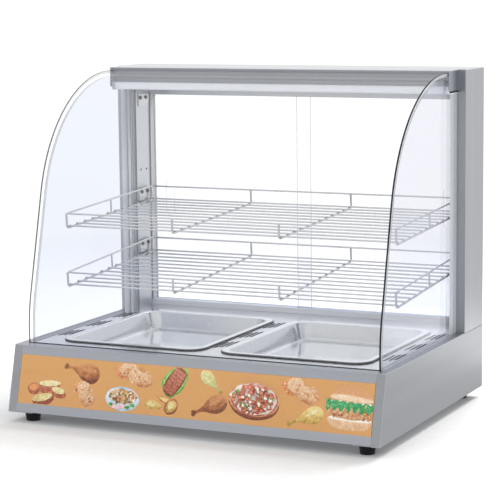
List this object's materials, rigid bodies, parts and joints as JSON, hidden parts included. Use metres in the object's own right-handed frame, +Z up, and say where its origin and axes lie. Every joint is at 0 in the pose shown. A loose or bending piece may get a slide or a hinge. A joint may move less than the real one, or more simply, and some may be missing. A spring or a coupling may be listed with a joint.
{
  "type": "hot food display case",
  "caption": "Countertop curved-glass heated display case with stainless base, food pans, wire shelves, sliding rear doors and a printed front panel.",
  "frame": {"origin": "middle of the overall footprint, on the surface the feet stand on", "axes": "+X to the case's right seen from its glass front, +Y from the glass front to the rear doors, +Z up"},
  "size_m": [0.66, 0.51, 0.5713],
  "materials": {
    "stainless": "satin brushed",
    "rail_steel": "dark satin",
    "light_steel": "satin",
    "printed_acrylic": "smooth gloss",
    "lamp_white": "gloss",
    "element_sheath": "heat-tinted satin",
    "black_plastic": "fine matte",
    "polished_steel": "polished",
    "aluminium": "satin anodised",
    "glass": "clear polished",
    "grey_rubber": "soft matte",
    "chromed_wire": "bright plated",
    "bracket_steel": "satin",
    "screw_steel": "zinc plated",
    "black_rubber": "moulded matte",
    "red_plastic": "gloss",
    "green_plastic": "gloss",
    "amber_plastic": "translucent gloss",
    "white_ceramic": "glazed"
  },
  "bodies": {
    "case": {"base_left_panel": "stainless", "base_right_panel": "stainless", "base_bottom": "stainless", "base_rear_panel": "stainless", "front_upper_strip": "stainless", "front_lower_strip": "stainless", "deck_plate": "stainless", "water_tank": "stainless", "column_left": "stainless", "column_right": "stainless", "top_rail": "stainless", "rail_fascia": "rail_steel", "rail_lower_trim": "light_steel", "lamp_reflector": "light_steel", "printed_panel": "printed_acrylic", "panel_lamp": "lamp_white", "cabinet_lamp": "lamp_white", "heating_element": "element_sheath", "element_bushes": "black_plastic", "thermostat_body": "black_plastic", "power_switch_bezel": "black_plastic", "lamp_switch_bezel": "black_plastic", "cord_gland": "black_plastic", "side_glass_channel_left": "aluminium", "side_glass_channel_right": "aluminium", "upper_door_track": "aluminium", "door_sill": "aluminium", "rail_bead": "aluminium", "dial_plate": "aluminium", "front_glass": "glass", "side_glass_left": "glass", "side_glass_right": "glass", "door_buffer_left": "grey_rubber", "door_buffer_right": "grey_rubber", "upper_bracket_left": "bracket_steel", "upper_bracket_right": "bracket_steel", "lower_bracket_left": "bracket_steel", "lower_bracket_right": "bracket_steel", "rail_bracket_left": "bracket_steel", "rail_bracket_right": "bracket_steel", "bracket_screws": "screw_steel", "foot_bolts": "screw_steel", "rear_panel_screws": "screw_steel", "foot_front_left": "black_rubber", "foot_front_right": "black_rubber", "foot_rear_left": "black_rubber", "foot_rear_right": "black_rubber", "pilot_lamp": "amber_plastic", "terminal_block": "white_ceramic"},
    "door_left": {"door_left": "glass"},
    "door_right": {"door_right": "glass"},
    "pan_left": {"pan_left": "polished_steel"},
    "pan_right": {"pan_right": "polished_steel"},
    "upper_shelf": {"upper_shelf_frame": "chromed_wire", "upper_shelf_wires": "chromed_wire"},
    "lower_shelf": {"lower_shelf_frame": "chromed_wire", "lower_shelf_wires": "chromed_wire"},
    "thermostat_knob": {"thermostat_knob": "black_plastic"},
    "power_rocker": {"power_switch_rocker": "red_plastic"},
    "lamp_rocker": {"lamp_switch_rocker": "green_plastic"}
  },
  "joints": [
    {"name": "door_left_slide", "type": "slide", "parent": "case", "child": "door_left", "axis": [1, 0, 0], "range_m": [0, 0.29]},
    {"name": "door_right_slide", "type": "slide", "parent": "case", "child": "door_right", "axis": [-1, 0, 0], "range_m": [0, 0.29]},
    {"name": "pan_left_lift", "type": "slide", "parent": "case", "child": "pan_left", "axis": [0, 0, 1], "range_m": [0, 0.05]},
    {"name": "pan_right_lift", "type": "slide", "parent": "case", "child": "pan_right", "axis": [0, 0, 1], "range_m": [0, 0.05]},
    {"name": "upper_shelf_lift", "type": "slide", "parent": "case", "child": "upper_shelf", "axis": [0, 0, 1], "range_m": [0, 0.015]},
    {"name": "lower_shelf_lift", "type": "slide", "parent": "case", "child": "lower_shelf", "axis": [0, 0, 1], "range_m": [0, 0.015]},
    {"name": "thermostat_turn", "type": "hinge", "parent": "case", "child": "thermostat_knob", "pos_m": [0.21, 0.23, 0.072], "axis": [0, 1, 0], "range_deg": [0, 270]},
    {"name": "power_switch_rock", "type": "hinge", "parent": "case", "child": "power_rocker", "pos_m": [0.09, 0.23, 0.072], "axis": [-1, 0, 0], "range_deg": [0, 16]},
    {"name": "lamp_switch_rock", "type": "hinge", "parent": "case", "child": "lamp_rocker", "pos_m": [0.04, 0.23, 0.072], "axis": [-1, 0, 0], "range_deg": [0, 16]}
  ]
}
